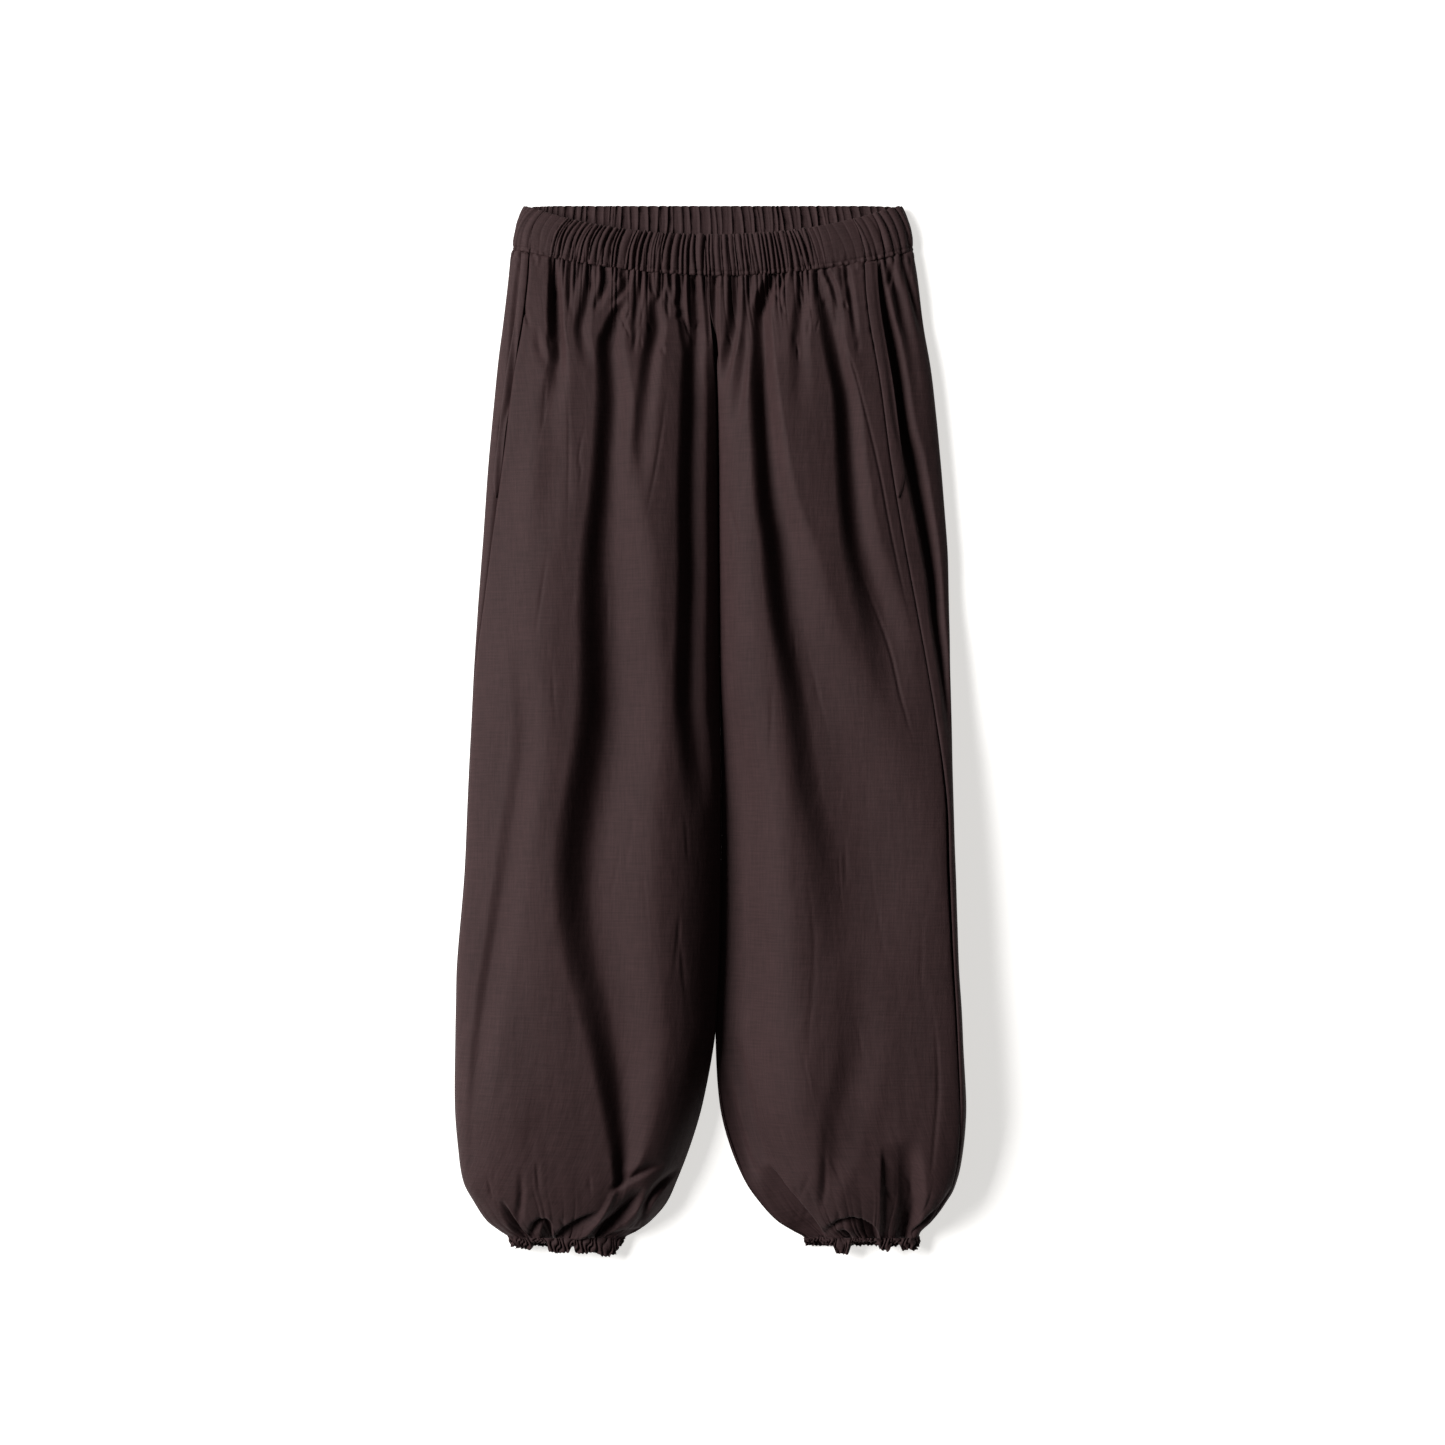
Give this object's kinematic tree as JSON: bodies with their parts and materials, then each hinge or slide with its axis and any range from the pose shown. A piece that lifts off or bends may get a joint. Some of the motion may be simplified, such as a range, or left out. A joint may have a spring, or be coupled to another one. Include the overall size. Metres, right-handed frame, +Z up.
{
  "type": "balloon trousers",
  "caption": "Pull-on balloon trousers lying flat, with a gathered elastic waistband, in-seam pockets and hems gathered into narrow elastic cuffs.",
  "frame": {"origin": "on the surface that the trousers lie on, under the middle of their outline", "axes": "+X across, towards the wearer's left leg, +Y from the cuffs to the waistband, +Z up from the surface through the back cloth to the front cloth"},
  "size_m": [0.4569, 0.9393, 0.055],
  "materials": {
    "panel_cloth": "matt brown plain-weave cotton with a faint sheen",
    "band_cloth": "the same cotton drawn up over a wide elastic",
    "cuff_cloth": "the same cotton drawn up over a narrow elastic"
  },
  "bodies": {
    "root": {"right_front": "panel_cloth", "right_back": "panel_cloth", "left_front": "panel_cloth", "left_back": "panel_cloth", "right_pocket_mouth": "panel_cloth", "left_pocket_mouth": "panel_cloth", "waistband_front": "band_cloth", "waistband_back": "band_cloth", "right_cuff_front": "cuff_cloth", "right_cuff_back": "cuff_cloth", "left_cuff_front": "cuff_cloth", "left_cuff_back": "cuff_cloth"}
  },
  "joints": []
}
